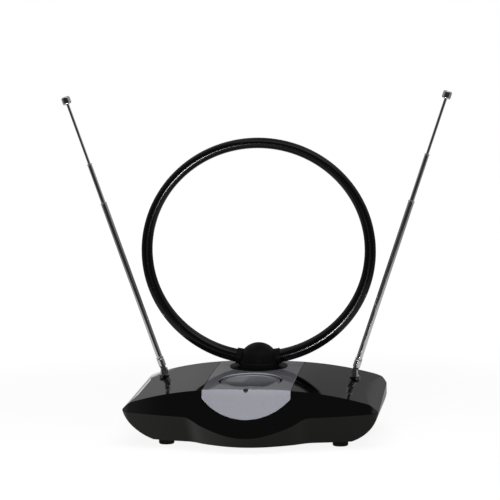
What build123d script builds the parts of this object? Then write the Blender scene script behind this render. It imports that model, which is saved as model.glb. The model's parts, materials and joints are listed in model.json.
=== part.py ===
from build123d import *
import os
from math import asin, cos, pi, radians, sin, sqrt, tan

# Indoor antenna: a moulded base, a loop on a turning turret, and two telescopic rods.
# X runs along the base, Y from the front to the back, Z up from the table.

# Base case
case_width = 215.6          # nose to nose
front_corner_radius = 10.0
back_corner_radius = 8.0
wall = 2.6
floor_height = 4.5          # underside of the case above the table

# Parting line between the two covers: a plane that rises to the back, with a dip at the front
loop_y = 23.0               # plane of the loop and of both rods
parting_height = 37.3       # of the parting plane, at the loop's plane
parting_tilt = 4.6
crease_dip = 15.2
crease_dip_half = 54.0
crease_power = 1.4
crease_round = 0.4          # on the bottom cover's edge along the front
front_reach = 95.9          # from the loop's plane to the front, on the parting plane
front_bow_radius = 255.0
facet_lean = 0.392          # setback of the upper front face for each millimetre of rise
hull_lean = 0.989           # setback of the lower front face for each millimetre of drop
back_reach = 27.5
back_bow_radius = 190.0

# Deck: level across the middle, falling to the ends in an arc, and crowned from front to back
deck_crest_reach = 72.0     # crest behind the loop's plane
deck_crest_height = 63.4
deck_crown_radius = 1170.0
deck_flat = 13.0            # half-width of the level middle
deck_arch_radius = 252.0
shoulder_start = 93.0       # half-width where the deck starts to roll over to the nose

# Underside of the case ends
bilge_flat = 84.0           # half-width of the flat underside
bilge_mid_x = 99.0
bilge_mid_height = 14.5
nose_height = 32.5
nose_trim = 0.95            # share of each end's arc that is drawn, before it runs on straight

# Silver trim panel over the deck and front
panel_half_width = 36.8
panel_thickness = 1.3
panel_proud = 0.35
panel_edge = 0.3            # bevel around the outer face
panel_gap = 0.45            # side clearance in the recess
panel_bed = 0.1             # clearance under the panel
panel_back_margin = 1.6
lobe_shoulder_height = 45.0
lobe_bottom_height = 28.6

# Gain dial in the panel
dial_reach = 57.0           # in front of the loop's plane
dial_radius = 25.0
dial_gap = 1.8
dial_thickness = 3.6
dial_sunk = 1.0
dial_rim_round = 0.6
dial_dish_radius = 21.2
dial_dish_depth = 1.9
dial_dish_step = 0.4
dial_floor_gap = 0.4
dial_well_wall = 1.4
spindle_radius = 3.0
spindle_clearance = 0.05
spindle_pass = 0.4          # clearance through the floor of the well

# Indicator lamp at the panel's bend
lamp_radius = 2.0
lamp_clearance = 0.1
lamp_standout = 1.5
lamp_dome = 1.8
lamp_depth = 4.2
lamp_boss_wall = 1.2

# Circuit board under the deck
board_length = 60.0
board_width = 44.0
board_thickness = 1.6
board_drop = 20.0           # from the panel down to the board's top, square to the dial
board_hole_inset = 4.5
board_hole_radius = 1.2
board_post_radius = 3.2
control_size = 16.0
control_height = 7.0
control_collar_radius = 4.6
control_collar_height = 3.0
spindle_engagement = 7.0
spindle_end_gap = 0.5

# Screw pillars of the bottom cover and the posts over them
screw_x = 58.0
screw_front_reach = 44.0
screw_back_reach = 26.0
pillar_radius = 4.5
pillar_top = 22.0
screw_head_radius = 3.0
screw_seat_height = 12.0
screw_hole_radius = 1.7
post_hole_radius = 1.3
post_hole_depth = 12.0

# Feet
foot_x = 74.0
foot_front_reach = 44.0
foot_back_reach = 28.0
foot_radius = 6.6
foot_recess = 1.0
foot_gap = 0.1
foot_edge = 0.8

# Turret that carries the loop
seat_radius = 25.0
seat_rise = 1.8             # above the deck on the turret's axis
seat_bed = 0.05             # clearance over the panel
seat_flange = 0.5           # thickness of the seat's rim, which follows the deck
seat_spigot_radius = 7.0
seat_spigot_gap = 0.1
turret_radius = 17.0
turret_skirt_radius = 18.0
turret_skirt_height = 1.8
turret_lift = 0.3           # running gap above the seat
hub_radius = 4.5
hub_clearance = 0.05
turret_boss_radius = 10.0
turret_boss_drop = 7.0
retainer_radius = 8.5
retainer_thickness = 2.0
retainer_gap = 0.3
retainer_fit = 0.02
hub_tail = 0.8

# Loop: a tube on a slightly flattened ring, thicker towards the turret
loop_half_width = 97.0
loop_half_height = 92.7
loop_base_rise = 5.8        # lowest point of the tube's centre line above the seat
loop_top_radius = 4.6
loop_end_radius = 5.8
loop_end_x = 13.6           # tube ends inside the turret
loop_sections = 17
loop_fit = 0.15
loop_end_gap = 0.5
collar_wall = 0.9
collar_x = 16.6
collar_length = 5.0
collar_bed = 0.05

# Rods: pivot place and lean
rod_pivot_x = 83.1
rod_pivot_rise = 6.0        # above the deck
rod_lean_left = 19.6
rod_lean_right = 18.6
bush_flange_radius = 4.6
bush_flange_rise = 1.7
bush_bed = 0.05
bush_radius = 3.4
bush_fit = 0.05
swivel_radius = 2.0
swivel_clearance = 0.05
swivel_lift = 0.3
swivel_foot_radius = 3.7
swivel_foot_height = 1.0
rod_boss_radius = 6.0
rod_boss_drop = 7.0
nut_across = 7.0
nut_thickness = 2.4
nut_gap = 0.3
nut_fit = 0.02
swivel_tail = 0.6
fork_width = 6.4            # across both ears, along the pin
fork_slot = 2.8
fork_gap = 0.15             # beside the tongue
ear_radius = 2.9
pin_radius = 1.1
pin_fit = 0.02
pin_clearance = 0.05
pin_head_radius = 1.9
pin_head_height = 0.6
tongue_radius = 2.4
ferrule_start = 3.8         # along the rod from the pivot
ferrule_length = 8.4
ferrule_radius = 3.2
ferrule_edge = 0.5
ferrule_groove_depth = 0.35
ferrule_groove_width = 1.2
socket_depth = 6.2          # of the outer tube in the ferrule
socket_fit = 0.02

# Telescopic sections, each sliding in the one below
outer_radius = 2.6
outer_bore = 2.15
middle_radius = 1.95
middle_bore = 1.45
inner_radius = 1.2
slide_clearance = 0.05
neck_length = 2.0
rim_length = 1.2
rim_rise = 0.25
stop_length = 6.0
outer_top = 154.9           # along the rod from the pivot
middle_length = 136.0
inner_length = 137.0
middle_out_left = 36.0      # showing above the outer tube
middle_out_right = 42.0
cap_reach = 91.1            # from the outer tube's top to the cap
cap_radius = 3.8
cap_length = 6.8
cap_round = 1.4
cap_depth = 4.0
cap_fit = 0.02

# Aerial socket in the back
socket_height = 26.0
barrel_radius = 4.7
barrel_length = 10.0
barrel_bore = 3.4
barrel_bore_depth = 9.0
socket_nut_across = 12.0
socket_nut_thickness = 2.5
socket_shank_radius = 4.2
socket_shank_fit = 0.05
socket_tail = 5.0
socket_pad_radius = 9.0
socket_pad_rise = 0.8
insert_length = 6.0
insert_fit = 0.03
insert_hole_radius = 0.6

through = 400.0             # longer than any cut needs

case_half = case_width / 2
tilt = radians(parting_tilt)
deck_crest_y = loop_y + deck_crest_reach
dial_y = loop_y - dial_reach
back_y = loop_y + back_reach * cos(tilt)
parting = Plane(origin=(0, loop_y, parting_height), x_dir=(1, 0, 0), z_dir=(0, -sin(tilt), cos(tilt)))
parting_front = Plane(origin=parting.origin, x_dir=(1, 0, 0), z_dir=(0, -cos(tilt), -sin(tilt)))
front_view = Plane(origin=(0, 0, 0), x_dir=(1, 0, 0), z_dir=(0, -1, 0))
loop_view = Plane(origin=(0, loop_y, 0), x_dir=(1, 0, 0), z_dir=(0, -1, 0))
dip_stations = [crease_dip_half * k / 4 for k in range(-3, 4)]
deck_back = loop_y + 4 * back_reach
deck_front = loop_y - 1.4 * front_reach
deck_stations = [deck_back + (deck_front - deck_back) * k / 4 for k in range(5)]


def sagitta(x, radius):
    """Fall of an arc at a distance x from its middle."""
    return radius - sqrt(radius ** 2 - x ** 2)


def crease_drop(x):
    """Depth of the parting line below the parting plane."""
    return crease_dip * (1 - (x / crease_dip_half) ** 2) ** crease_power


def deck_height(x, y):
    """Height of the deck over the table."""
    fall = sagitta(max(abs(x) - deck_flat, 0), deck_arch_radius)
    return deck_crest_height - sagitta(y - deck_crest_y, deck_crown_radius) - fall


def outline(height, setback, bulged, inset):
    """Plan of the case on a plane parallel to the parting plane, rounded at its corners."""
    front = -front_reach + setback * height
    back = back_reach + tan(tilt) * height
    front_corner = front + sagitta(case_half, front_bow_radius)
    back_corner = back + sagitta(case_half, back_bow_radius)
    dip_edge = front + sagitta(crease_dip_half, front_bow_radius)
    dip_slope = crease_dip_half / sqrt(front_bow_radius ** 2 - crease_dip_half ** 2)
    flank = (case_half + crease_dip_half) / 2
    flank_front = front + sagitta(flank, front_bow_radius)
    spread = facet_lean + hull_lean
    belly = [(x, front + sagitta(x, front_bow_radius) - spread * crease_drop(x)) for x in dip_stations]
    with BuildSketch(parting.offset(height)) as plan:
        with BuildLine():
            if bulged:
                ThreePointArc((-case_half, front_corner), (-flank, flank_front), (-crease_dip_half, dip_edge))
                Spline(
                    (-crease_dip_half, dip_edge),
                    *belly,
                    (crease_dip_half, dip_edge),
                    tangents=[(1, -dip_slope), (1, dip_slope)],
                )
                ThreePointArc((crease_dip_half, dip_edge), (flank, flank_front), (case_half, front_corner))
            else:
                ThreePointArc((-case_half, front_corner), (0, front), (case_half, front_corner))
            Line((case_half, front_corner), (case_half, back_corner))
            ThreePointArc((case_half, back_corner), (0, back), (-case_half, back_corner))
            Line((-case_half, back_corner), (-case_half, front_corner))
        make_face()
        corners = plan.vertices().filter_by(lambda v: abs(v.X) > case_half - 0.01)
        fillet(corners.sort_by(Axis.Y)[:2], front_corner_radius)
        corners = plan.vertices().filter_by(lambda v: abs(v.X) > case_half - 0.01)
        fillet(corners.sort_by(Axis.Y)[-2:], back_corner_radius)
        if inset:
            offset(amount=-inset)
    return plan.sketch


def parting_block():
    """Space above the parting line: over the parting plane, and down into its dip at the front."""
    with BuildPart() as block:
        with BuildSketch(parting):
            Rectangle(through, through)
        extrude(amount=through)
        with BuildSketch(parting_front):
            with BuildLine():
                Polyline(
                    (crease_dip_half, 0),
                    (crease_dip_half, wall),
                    (-crease_dip_half, wall),
                    (-crease_dip_half, 0),
                )
                Spline(
                    (-crease_dip_half, 0),
                    *[(x, -crease_drop(x)) for x in dip_stations],
                    (crease_dip_half, 0),
                    tangents=[(1, 0), (1, 0)],
                )
            make_face()
        extrude(amount=through)
    return block.part


def arch_section(y, inset):
    """Cross-section under the deck at one place along Y."""
    reach = case_half - deck_flat + 3 * wall
    edge = deck_flat + reach
    half_way = deck_flat + reach / 2
    top = deck_height(0, y) - inset
    edge_top = top - sagitta(reach, deck_arch_radius - inset)
    half_top = top - sagitta(reach / 2, deck_arch_radius - inset)
    with BuildSketch(Plane(origin=(0, y, 0), x_dir=(1, 0, 0), z_dir=(0, -1, 0))) as section:
        with BuildLine():
            ThreePointArc((-edge, edge_top), (-half_way, half_top), (-deck_flat, top))
            Line((-deck_flat, top), (deck_flat, top))
            ThreePointArc((deck_flat, top), (half_way, half_top), (edge, edge_top))
            Polyline((edge, edge_top), (edge, -through), (-edge, -through), (-edge, edge_top))
        make_face()
    return section.sketch


def upper_form(inset):
    """Solid under the deck, with every outer face moved in by the inset, running on below the parting line."""
    shoulder_slope = tan(asin((shoulder_start - deck_flat) / deck_arch_radius))
    shoulder_rise = (deck_height(shoulder_start, loop_y) - parting_height) / cos(tilt)
    peak = shoulder_rise + shoulder_slope * shoulder_start
    skirt = -crease_dip - 3 * wall
    with BuildPart() as form:
        loft(
            [
                outline(skirt, facet_lean, False, inset).face(),
                outline(deck_crest_height, facet_lean, False, inset).face(),
            ],
            ruled=True,
        )
        with BuildSketch(parting_front):
            with BuildLine():
                left = TangentArc(
                    (-shoulder_start, shoulder_rise),
                    (-case_half, 0),
                    tangent=(-1, -shoulder_slope),
                    mode=Mode.PRIVATE,
                ).trim(0, nose_trim)
                right = TangentArc(
                    (shoulder_start, shoulder_rise),
                    (case_half, 0),
                    tangent=(1, -shoulder_slope),
                    mode=Mode.PRIVATE,
                ).trim(0, nose_trim)
                add(left)
                add(right)
                Polyline(left @ 0, (0, peak), right @ 0)
                left_end = left @ 1 + (left % 1) * 2 * wall
                right_end = right @ 1 + (right % 1) * 2 * wall
                Polyline(
                    left @ 1,
                    left_end,
                    (left_end.X, 2 * skirt),
                    (right_end.X, 2 * skirt),
                    right_end,
                    right @ 1,
                )
            make_face()
            if inset:
                offset(amount=-inset, kind=Kind.INTERSECTION)
        extrude(amount=through, both=True, mode=Mode.INTERSECT)
        loft([arch_section(y, inset).face() for y in deck_stations], mode=Mode.INTERSECT)
    return form.part


def lower_form(inset):
    """Solid of the underside, with every outer face moved in by the inset, running on above the parting line."""
    with BuildPart() as form:
        loft(
            [
                outline(-parting_height - crease_dip, -hull_lean, True, inset).face(),
                outline(2 * wall, -hull_lean, True, inset).face(),
            ],
            ruled=True,
        )
        with BuildSketch(front_view):
            with BuildLine():
                right = ThreePointArc(
                    (bilge_flat, floor_height),
                    (bilge_mid_x, bilge_mid_height),
                    (case_half, nose_height),
                    mode=Mode.PRIVATE,
                ).trim(0, nose_trim)
                left = ThreePointArc(
                    (-bilge_flat, floor_height),
                    (-bilge_mid_x, bilge_mid_height),
                    (-case_half, nose_height),
                    mode=Mode.PRIVATE,
                ).trim(0, nose_trim)
                add(left)
                add(right)
                Line(left @ 0, right @ 0)
                left_end = left @ 1 + (left % 1) * 4 * wall
                right_end = right @ 1 + (right % 1) * 4 * wall
                Polyline(left @ 1, left_end, (left_end.X, through), (right_end.X, through), right_end, right @ 1)
            make_face()
            if inset:
                offset(amount=-inset, kind=Kind.INTERSECTION)
        extrude(amount=through, both=True, mode=Mode.INTERSECT)
    return form.part


def panel_skin(outer, inner, grow):
    """Layer of the case's top and front, as wide as the trim panel and ending in its lobe."""
    half = panel_half_width + grow
    back = back_y - panel_back_margin + grow
    with BuildPart() as skin:
        add(upper_form(-outer))
        add(upper_form(inner), mode=Mode.SUBTRACT)
        with BuildSketch(front_view):
            with BuildLine():
                ThreePointArc(
                    (-panel_half_width, lobe_shoulder_height),
                    (0, lobe_bottom_height),
                    (panel_half_width, lobe_shoulder_height),
                )
                Polyline(
                    (panel_half_width, lobe_shoulder_height),
                    (panel_half_width, through),
                    (-panel_half_width, through),
                    (-panel_half_width, lobe_shoulder_height),
                )
            make_face()
            if grow:
                offset(amount=grow, kind=Kind.INTERSECTION)
        extrude(amount=through, both=True, mode=Mode.INTERSECT)
        with BuildSketch():
            with BuildLine():
                Polyline(
                    (half, back + sagitta(half, back_bow_radius)),
                    (half, -through),
                    (-half, -through),
                    (-half, back + sagitta(half, back_bow_radius)),
                )
                ThreePointArc(
                    (-half, back + sagitta(half, back_bow_radius)),
                    (0, back),
                    (half, back + sagitta(half, back_bow_radius)),
                )
            make_face()
        extrude(amount=through, mode=Mode.INTERSECT)
    return skin.part


def on_crease(edge):
    """Whether an edge runs along the front of the parting line."""
    ends_rise = abs(parting.to_local_coords(edge @ 0).Z) + abs(parting.to_local_coords(edge @ 1).Z)
    forward = parting.to_local_coords(edge @ 0.5).Y < -0.7 * front_reach
    return forward and ends_rise < 0.01 and edge.length > crease_dip_half / 2


def on_panel_rim(edge):
    """Whether an edge runs around the panel's outer face."""
    middle = edge @ 0.5
    on_side = abs(abs(middle.X) - panel_half_width) < panel_gap
    on_end = middle.Z < lobe_shoulder_height - panel_gap or middle.Y > loop_y
    return (on_side or on_end) and not case_top.is_inside(middle)


case_top = upper_form(0)
seat_top = deck_height(0, loop_y) + seat_rise
boss_bottom = deck_height(0, loop_y) - turret_boss_drop
retainer_top = boss_bottom - retainer_gap
loop_center = seat_top + loop_base_rise + loop_half_height
skirt_bottom = seat_top + turret_lift
rod_deck = deck_height(rod_pivot_x, loop_y)
rod_boss_bottom = rod_deck - rod_boss_drop
pivot_height = rod_deck + rod_pivot_rise
bush_top = rod_deck + bush_flange_rise
swivel_bottom = bush_top + swivel_lift
nut_top = rod_boss_bottom - nut_gap
ferrule_end = ferrule_start + ferrule_length
dial_opening = dial_radius + dial_gap
dial_depth = dial_sunk + dial_thickness
well_depth = dial_depth + dial_floor_gap
control_top = board_drop - control_height - control_collar_height
spindle_end = control_top + spindle_engagement
sides = {"left": -1, "right": 1}
ends = {"front": -1, "rear": 1}

# Dial axis: square to the deck
dial_slope = asin((deck_crest_y - dial_y) / deck_crown_radius)
dial_normal = Vector(0, -sin(dial_slope), cos(dial_slope))
dial_center = Vector(0, dial_y, deck_height(0, dial_y)) + dial_normal * panel_proud
dial_plane = Plane(origin=dial_center, x_dir=(1, 0, 0), z_dir=dial_normal)
dial_section = Plane(origin=dial_center, x_dir=(1, 0, 0), z_dir=(0, -cos(dial_slope), -sin(dial_slope)))

# Bend between deck and front face, on the centre line
bend_rise = deck_crest_height - parting_height
for step in range(30):
    bend_reach = -front_reach + facet_lean * bend_rise
    bend_y = loop_y + bend_reach * cos(tilt) - bend_rise * sin(tilt)
    bend_rise = (deck_height(0, bend_y) - parting_height - bend_reach * sin(tilt)) / cos(tilt)
bend_slope = asin((deck_crest_y - bend_y) / deck_crown_radius)
facet_run = Vector(0, facet_lean * cos(tilt) - sin(tilt), facet_lean * sin(tilt) + cos(tilt)).normalized()
lamp_axis = (Vector(0, -sin(bend_slope), cos(bend_slope)) + Vector(0, -facet_run.Z, facet_run.Y)).normalized()
lamp_plane = Plane(origin=(0, bend_y, deck_height(0, bend_y)), x_dir=(1, 0, 0), z_dir=lamp_axis)
lamp_section = Plane(origin=lamp_plane.origin, x_dir=(1, 0, 0), z_dir=-lamp_plane.y_dir)

screw_places = [
    (side * screw_x, y)
    for side in sides.values()
    for y in (loop_y - screw_front_reach, loop_y + screw_back_reach)
]
board_places = [
    (side * (board_length / 2 - board_hole_inset), end * (board_width / 2 - board_hole_inset))
    for side in sides.values()
    for end in ends.values()
]
rod_places = [(side * rod_pivot_x, loop_y) for side in sides.values()]


def tube_radius(turn):
    """Radius of the loop's tube at an angle from its lowest point."""
    return loop_top_radius + (loop_end_radius - loop_top_radius) * ((1 + cos(turn)) / 2) ** 2


def loop_plane(turn):
    """Plane square to the loop's tube at an angle from its lowest point."""
    place = (loop_half_width * sin(turn), loop_y, loop_center - loop_half_height * cos(turn))
    run = (loop_half_width * cos(turn), 0, loop_half_height * sin(turn))
    return Plane(origin=place, x_dir=(0, 1, 0), z_dir=run)


def dome_form(grow):
    """Outer shape of the turret."""
    center = skirt_bottom + turret_skirt_height
    radius = turret_radius + grow
    bottom = skirt_bottom - 10 * grow
    flare = (turret_skirt_radius - turret_radius) * (1 + 10 * grow / turret_skirt_height)
    with BuildPart() as dome:
        with BuildSketch(loop_view):
            with BuildLine():
                Line((0, bottom), (0, center + radius))
                RadiusArc((0, center + radius), (radius, center), radius)
                Polyline((radius, center), (radius + flare, bottom), (0, bottom))
            make_face()
        revolve(axis=Axis((0, loop_y, 0), (0, 0, 1)))
    return dome.part


# Bosses, posts and the dial's well inside the top cover, trimmed under the deck
with BuildPart() as bosses:
    with BuildSketch(Plane.XY.offset(boss_bottom)):
        with Locations((0, loop_y)):
            Circle(turret_boss_radius)
    extrude(amount=turret_boss_drop)
    with BuildSketch(Plane.XY.offset(rod_boss_bottom)):
        with Locations(*rod_places):
            Circle(rod_boss_radius)
    extrude(amount=2 * rod_boss_drop)
    with BuildSketch(Plane.XY.offset(pillar_top)):
        with Locations(*screw_places):
            Circle(pillar_radius)
    extrude(amount=deck_crest_height)
    with BuildSketch(dial_plane.offset(-board_drop)):
        with Locations(*board_places):
            Circle(board_post_radius)
    extrude(amount=board_drop)
    with BuildSketch(dial_plane.offset(-well_depth - dial_well_wall)):
        Circle(dial_opening + dial_well_wall)
    extrude(amount=well_depth + dial_well_wall)
    with BuildSketch(lamp_plane.offset(-lamp_depth - lamp_boss_wall)):
        Circle(lamp_radius + lamp_clearance + lamp_boss_wall)
    extrude(amount=lamp_depth + lamp_boss_wall)
    add(upper_form(wall / 2), mode=Mode.INTERSECT)

# Top cover: deck, front face and back, with the panel's recess
with BuildPart() as top_cover:
    add(upper_form(0))
    add(upper_form(wall), mode=Mode.SUBTRACT)
    add(parting_block(), mode=Mode.INTERSECT)
    add(bosses.part)
    add(panel_skin(wall, panel_thickness - panel_proud + panel_bed, panel_gap), mode=Mode.SUBTRACT)
    with BuildSketch(dial_plane.offset(-well_depth)):
        Circle(dial_opening)
    extrude(amount=2 * well_depth, mode=Mode.SUBTRACT)
    with BuildSketch(dial_plane.offset(-well_depth)):
        Circle(spindle_radius + spindle_pass)
    extrude(amount=-2 * dial_well_wall, mode=Mode.SUBTRACT)
    with BuildSketch(dial_plane.offset(-board_drop)):
        with Locations(*board_places):
            Circle(board_hole_radius)
    extrude(amount=board_drop / 2, mode=Mode.SUBTRACT)
    with BuildSketch(lamp_plane.offset(-lamp_depth)):
        Circle(lamp_radius + lamp_clearance)
    extrude(amount=2 * lamp_depth, mode=Mode.SUBTRACT)
    with BuildSketch(Plane.XY.offset(boss_bottom - wall)):
        with Locations((0, loop_y)):
            Circle(seat_spigot_radius + seat_spigot_gap)
    extrude(amount=3 * turret_boss_drop, mode=Mode.SUBTRACT)
    with BuildSketch(Plane.XY.offset(rod_boss_bottom - wall)):
        with Locations(*rod_places):
            Circle(bush_radius + bush_fit)
    extrude(amount=3 * rod_boss_drop, mode=Mode.SUBTRACT)
    with BuildSketch(Plane.XY.offset(pillar_top)):
        with Locations(*screw_places):
            Circle(post_hole_radius)
    extrude(amount=post_hole_depth, mode=Mode.SUBTRACT)

# Bottom cover: hull, screw pillars, foot recesses and the aerial socket's pad
with BuildPart() as bottom_cover:
    add(lower_form(0))
    add(parting_block(), mode=Mode.SUBTRACT)
    fillet(bottom_cover.edges().filter_by(on_crease), crease_round)
    add(lower_form(wall), mode=Mode.SUBTRACT)
    with BuildSketch(Plane.XY.offset(floor_height)):
        with Locations(*screw_places):
            Circle(pillar_radius)
    extrude(amount=pillar_top - floor_height)
    with BuildSketch(Plane(origin=(0, back_y + socket_pad_rise, socket_height), x_dir=(1, 0, 0), z_dir=(0, 1, 0))):
        Circle(socket_pad_radius)
    extrude(amount=-socket_pad_rise - wall - socket_pad_rise)
    with BuildSketch(Plane.XY.offset(floor_height)):
        with Locations(*screw_places):
            Circle(screw_head_radius)
    extrude(amount=screw_seat_height - floor_height, mode=Mode.SUBTRACT)
    with BuildSketch(Plane.XY.offset(floor_height)):
        with Locations(*screw_places):
            Circle(screw_hole_radius)
    extrude(amount=pillar_top - floor_height, mode=Mode.SUBTRACT)
    with BuildSketch(Plane.XY.offset(floor_height)):
        for side in sides.values():
            with Locations((side * foot_x, loop_y - foot_front_reach), (side * foot_x, loop_y + foot_back_reach)):
                Circle(foot_radius + foot_gap)
    extrude(amount=foot_recess, mode=Mode.SUBTRACT)
    with BuildSketch(Plane(origin=(0, back_y, socket_height), x_dir=(1, 0, 0), z_dir=(0, 1, 0))):
        Circle(socket_shank_radius + socket_shank_fit)
    extrude(amount=socket_pad_radius, both=True, mode=Mode.SUBTRACT)

# Silver trim panel, bent over the front edge
with BuildPart() as trim_panel:
    add(panel_skin(panel_proud, panel_thickness - panel_proud, 0))
    chamfer(trim_panel.edges().filter_by(on_panel_rim), panel_edge)
    with BuildSketch(dial_plane):
        Circle(dial_opening)
    extrude(amount=well_depth, both=True, mode=Mode.SUBTRACT)
    with BuildSketch(lamp_plane.offset(-lamp_depth)):
        Circle(lamp_radius + lamp_clearance)
    extrude(amount=2 * lamp_depth, mode=Mode.SUBTRACT)
    with BuildSketch(Plane.XY.offset(boss_bottom)):
        with Locations((0, loop_y)):
            Circle(seat_spigot_radius + seat_spigot_gap)
    extrude(amount=2 * turret_boss_drop, mode=Mode.SUBTRACT)

# Gain dial: a dished disc with its spindle
with BuildPart() as gain_dial:
    with BuildSketch(dial_section):
        with BuildLine():
            ThreePointArc(
                (0, -dial_sunk - dial_dish_depth),
                (dial_dish_radius / 2, -dial_sunk - dial_dish_step - (dial_dish_depth - dial_dish_step) * 0.75),
                (dial_dish_radius, -dial_sunk - dial_dish_step),
            )
            Polyline(
                (dial_dish_radius, -dial_sunk - dial_dish_step),
                (dial_dish_radius, -dial_sunk),
                (dial_radius - dial_rim_round, -dial_sunk),
            )
            RadiusArc(
                (dial_radius - dial_rim_round, -dial_sunk),
                (dial_radius, -dial_sunk - dial_rim_round),
                dial_rim_round,
            )
            Polyline(
                (dial_radius, -dial_sunk - dial_rim_round),
                (dial_radius, -dial_depth),
                (spindle_radius, -dial_depth),
                (spindle_radius, -spindle_end),
                (0, -spindle_end),
                (0, -dial_sunk - dial_dish_depth),
            )
        make_face()
    revolve(axis=Axis(dial_center, dial_normal))

# Indicator lamp: a domed lens in a blind hole
with BuildPart() as indicator_lamp:
    with BuildSketch(lamp_section):
        with BuildLine():
            ThreePointArc(
                (0, lamp_standout),
                (lamp_radius * 0.7, lamp_standout - lamp_dome * 0.4),
                (lamp_radius, lamp_standout - lamp_dome),
            )
            Polyline(
                (lamp_radius, lamp_standout - lamp_dome),
                (lamp_radius, -lamp_depth),
                (0, -lamp_depth),
                (0, lamp_standout),
            )
        make_face()
    revolve(axis=Axis(lamp_plane.origin, lamp_axis))

# Circuit board on its posts, and the gain control on the board
with BuildPart() as circuit_board:
    with BuildSketch(dial_plane.offset(-board_drop)):
        Rectangle(board_length, board_width)
        with Locations(*board_places):
            Circle(board_hole_radius, mode=Mode.SUBTRACT)
    extrude(amount=-board_thickness)

with BuildPart() as gain_control:
    with BuildSketch(dial_plane.offset(-board_drop)):
        Rectangle(control_size, control_size)
    extrude(amount=control_height)
    with BuildSketch(dial_plane.offset(-board_drop + control_height)):
        Circle(control_collar_radius)
    extrude(amount=control_collar_height)
    with BuildSketch(dial_plane.offset(-control_top)):
        Circle(spindle_radius + spindle_clearance)
    extrude(amount=-spindle_engagement - spindle_end_gap, mode=Mode.SUBTRACT)

# Turret seat on the panel, with a spigot down through the cover
with BuildPart() as turret_seat:
    with BuildSketch(Plane.XY.offset(seat_top)):
        with Locations((0, loop_y)):
            Circle(seat_radius)
    extrude(amount=-turret_boss_drop)
    add(upper_form(-panel_proud - seat_bed - seat_flange), mode=Mode.INTERSECT)
    with BuildSketch(Plane.XY.offset(seat_top)):
        with Locations((0, loop_y)):
            Circle(turret_skirt_radius)
    extrude(amount=-turret_boss_drop)
    add(upper_form(-panel_proud - seat_bed), mode=Mode.SUBTRACT)
    seat_back = back_y - panel_back_margin
    with BuildSketch():
        with BuildLine():
            Polyline(
                (seat_radius, seat_back + sagitta(seat_radius, back_bow_radius)),
                (seat_radius, -through),
                (-seat_radius, -through),
                (-seat_radius, seat_back + sagitta(seat_radius, back_bow_radius)),
            )
            ThreePointArc(
                (-seat_radius, seat_back + sagitta(seat_radius, back_bow_radius)),
                (0, seat_back),
                (seat_radius, seat_back + sagitta(seat_radius, back_bow_radius)),
            )
        make_face()
    extrude(amount=through, mode=Mode.INTERSECT)
    with BuildSketch(Plane.XY.offset(boss_bottom)):
        with Locations((0, loop_y)):
            Circle(seat_spigot_radius)
    extrude(amount=turret_boss_drop + seat_rise / 2)
    with BuildSketch(Plane.XY.offset(boss_bottom - wall)):
        with Locations((0, loop_y)):
            Circle(hub_radius + hub_clearance)
    extrude(amount=3 * turret_boss_drop, mode=Mode.SUBTRACT)

# Loop turret: a dome on a hub, with a socket for each end of the loop
socket_turn = asin((loop_end_x - loop_end_gap) / loop_half_width)
with BuildPart() as loop_turret:
    add(dome_form(0))
    with BuildSketch(Plane.XY.offset(skirt_bottom)):
        with Locations((0, loop_y)):
            Circle(hub_radius)
    extrude(amount=retainer_top - retainer_thickness - hub_tail - skirt_bottom)
    for turn in (socket_turn, -socket_turn):
        with BuildSketch(loop_plane(turn)):
            Circle(tube_radius(turn) + loop_fit)
        extrude(amount=turret_radius if turn > 0 else -turret_radius, mode=Mode.SUBTRACT)

with BuildPart() as turret_retainer:
    with BuildSketch(Plane.XY.offset(retainer_top)):
        with Locations((0, loop_y)):
            Circle(retainer_radius)
            Circle(hub_radius + retainer_fit, mode=Mode.SUBTRACT)
    extrude(amount=-retainer_thickness)

# Loop ring: circles along the ring, swelling towards the turret
start_turn = asin(loop_end_x / loop_half_width)
turns = [start_turn + (2 * pi - 2 * start_turn) * k / (loop_sections - 1) for k in range(loop_sections)]
with BuildPart() as loop_ring:
    for turn in turns:
        with BuildSketch(loop_plane(turn)):
            Circle(tube_radius(turn))
    loft()

pieces = {
    "top_cover": top_cover,
    "bottom_cover": bottom_cover,
    "trim_panel": trim_panel,
    "gain_dial": gain_dial,
    "indicator_lamp": indicator_lamp,
    "circuit_board": circuit_board,
    "gain_control": gain_control,
    "turret_seat": turret_seat,
    "loop_turret": loop_turret,
    "turret_retainer": turret_retainer,
    "loop_ring": loop_ring,
}

# Collars where the loop enters the turret
for side_name, side in sides.items():
    collar_turn = side * asin(collar_x / loop_half_width)
    with BuildPart() as loop_collar:
        with BuildSketch(loop_plane(collar_turn)):
            Circle(tube_radius(collar_turn) + loop_fit + collar_wall)
            Circle(tube_radius(collar_turn) + loop_fit, mode=Mode.SUBTRACT)
        extrude(amount=collar_length / 2, both=True)
        add(dome_form(collar_bed), mode=Mode.SUBTRACT)
    pieces[f"loop_collar_{side_name}"] = loop_collar

# Rubber feet
for end_name, end in ends.items():
    for side_name, side in sides.items():
        foot_y = loop_y - foot_front_reach if end < 0 else loop_y + foot_back_reach
        with BuildPart() as foot:
            with BuildSketch():
                with Locations((side * foot_x, foot_y)):
                    Circle(foot_radius)
            extrude(amount=floor_height + foot_recess)
            chamfer(foot.edges().group_by(Axis.Z)[0], foot_edge)
        pieces[f"foot_{end_name}_{side_name}"] = foot

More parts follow.
